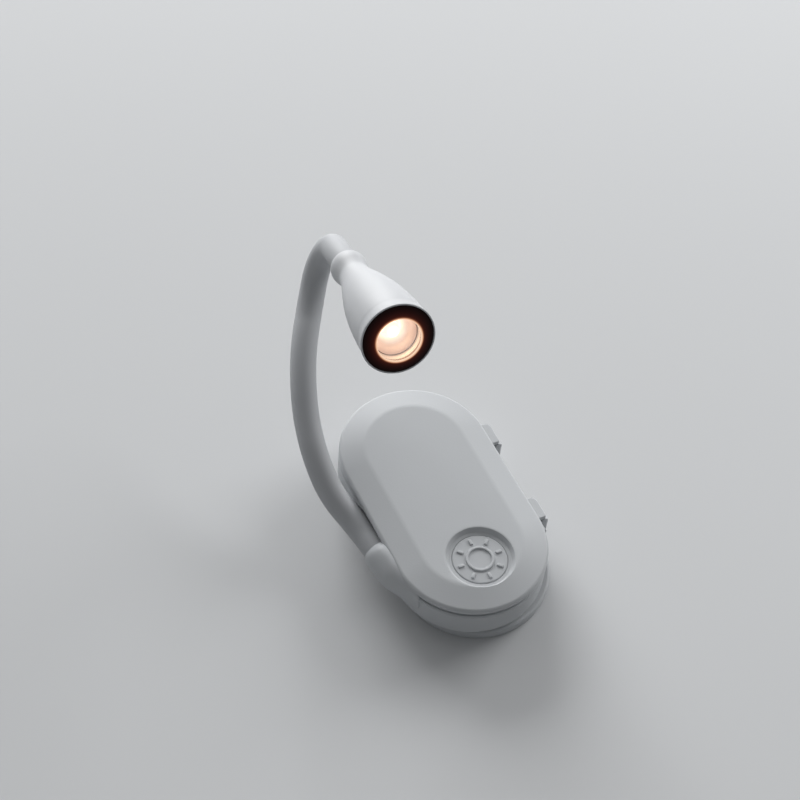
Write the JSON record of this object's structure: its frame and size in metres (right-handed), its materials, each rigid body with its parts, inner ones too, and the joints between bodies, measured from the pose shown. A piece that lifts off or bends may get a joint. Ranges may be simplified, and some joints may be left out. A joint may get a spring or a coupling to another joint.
{
  "type": "clip-on book light",
  "caption": "Battery book light with a spring clip body, a push button and a bendable neck that carries a bell-shaped lamp head.",
  "frame": {"origin": "centre of the body's outline on the back face of the closed clip jaw", "axes": "+Z out of the body's face, +Y along the body away from the button, +X towards the clip's hinge"},
  "size_m": [0.0427, 0.0792, 0.0697],
  "materials": {
    "body_shell": "fine matt moulded, light neutral grey",
    "button_plastic": "fine matt moulded, light neutral grey",
    "neck_sleeve": "smooth matt silicone, light neutral grey",
    "head_plastic": "fine matt moulded, light neutral grey",
    "bezel_black": "satin black",
    "lens_clear": "polished clear",
    "reflector_bright": "vacuum-metallised",
    "lamp_aluminium": "turned",
    "lamp_board_white": "white solder mask",
    "emitter": "warm white lamp chip under a clear dome",
    "cell_steel": "nickel-plated",
    "contact_steel": "nickel-plated spring strip",
    "screw_steel": "zinc-plated",
    "spring_steel": "drawn wire",
    "circuit_green": "green solder mask",
    "component_black": "moulded epoxy",
    "switch_black": "moulded",
    "pad_rubber": "soft ribbed grey",
    "wire_insulation": "smooth"
  },
  "bodies": {
    "housing": {"front_cover": "body_shell", "rear_cover": "body_shell", "battery_door": "body_shell", "switch_body": "switch_black", "circuit_board": "circuit_green", "board_components": "component_black", "coin_cell_lower": "cell_steel", "coin_cell_upper": "cell_steel", "cell_contact_lower": "contact_steel", "cell_contact_upper": "contact_steel", "battery_door_screw": "screw_steel", "cover_screws": "screw_steel", "hinge_pin": "screw_steel", "clip_spring": "spring_steel", "housing_pad": "pad_rubber", "board_leads": "wire_insulation", "neck_base": "neck_sleeve", "neck_ferrule": "body_shell"},
    "button": {"button": "button_plastic", "switch_plunger": "switch_black"},
    "jaw": {"clip_jaw": "body_shell", "jaw_pad": "pad_rubber"},
    "neck_1": {"neck_link_1": "neck_sleeve"},
    "neck_2": {"neck_link_2": "neck_sleeve"},
    "neck_3": {"neck_link_3": "neck_sleeve"},
    "neck_4": {"neck_link_4": "neck_sleeve"},
    "neck_5": {"neck_link_5": "neck_sleeve"},
    "neck_6": {"neck_link_6": "neck_sleeve"},
    "neck_7": {"neck_link_7": "neck_sleeve"},
    "neck_8": {"neck_link_8": "neck_sleeve"},
    "neck_9": {"neck_link_9": "neck_sleeve"},
    "head": {"neck_tip": "neck_sleeve", "head_shell": "head_plastic", "head_bezel": "bezel_black", "lens": "lens_clear", "lamp_slug": "lamp_aluminium", "lamp_board": "lamp_board_white", "lamp_chip": "emitter", "reflector": "reflector_bright", "lamp_leads": "wire_insulation"}
  },
  "joints": [
    {"name": "button_press", "type": "slide", "parent": "housing", "child": "button", "axis": [0, 0, -1], "range_m": [0, 0.0006], "stiffness_N_per_m": 1500, "springref_m": -0.0005},
    {"name": "clip_hinge", "type": "hinge", "parent": "housing", "child": "jaw", "pos_m": [0.016, 0, 0.0089], "axis": [0, -1, 0], "range_deg": [0, 28], "stiffness_Nm_per_rad": 0.08, "springref_deg": -34.38, "deforming": ["clip_spring"]},
    {"name": "neck_bend_1", "type": "hinge", "parent": "housing", "child": "neck_1", "pos_m": [-0.017, -0.001, 0.0085], "axis": [0, 0, 1], "range_deg": [0, 20]},
    {"name": "neck_bend_2", "type": "hinge", "parent": "neck_1", "child": "neck_2", "pos_m": [-0.019, 0.00625, 0.01025], "axis": [0.9401, 0.3088, 0.1441], "range_deg": [-20, 20]},
    {"name": "neck_bend_3", "type": "hinge", "parent": "neck_2", "child": "neck_3", "pos_m": [-0.02075, 0.0135, 0.01425], "axis": [0, 0.5408, -0.8412], "range_deg": [-20, 20]},
    {"name": "neck_bend_4", "type": "hinge", "parent": "neck_3", "child": "neck_4", "pos_m": [-0.0205, 0.0205, 0.01825], "axis": [-0.9919, 0.1134, 0.0567], "range_deg": [-20, 20]},
    {"name": "neck_bend_5", "type": "hinge", "parent": "neck_4", "child": "neck_5", "pos_m": [-0.019, 0.02725, 0.022], "axis": [0, -0.5241, 0.8517], "range_deg": [-20, 20]},
    {"name": "neck_bend_6", "type": "hinge", "parent": "neck_5", "child": "neck_6", "pos_m": [-0.0165, 0.03375, 0.02575], "axis": [0.9264, -0.3315, -0.1785], "range_deg": [-20, 20]},
    {"name": "neck_bend_7", "type": "hinge", "parent": "neck_6", "child": "neck_7", "pos_m": [-0.01275, 0.0405, 0.029], "axis": [0, 0.3939, -0.9191], "range_deg": [-20, 20]},
    {"name": "neck_bend_8", "type": "hinge", "parent": "neck_7", "child": "neck_8", "pos_m": [-0.00875, 0.04625, 0.03375], "axis": [-0.9144, 0.2304, 0.3328], "range_deg": [-20, 20]},
    {"name": "neck_bend_9", "type": "hinge", "parent": "neck_8", "child": "neck_9", "pos_m": [-0.006, 0.0475, 0.041], "axis": [0, -0.9701, -0.2425], "range_deg": [-20, 20]},
    {"name": "neck_bend_10", "type": "hinge", "parent": "neck_9", "child": "head", "pos_m": [-0.0058, 0.043, 0.04735], "axis": [0.9825, -0.1548, 0.1039], "range_deg": [-20, 20]}
  ]
}
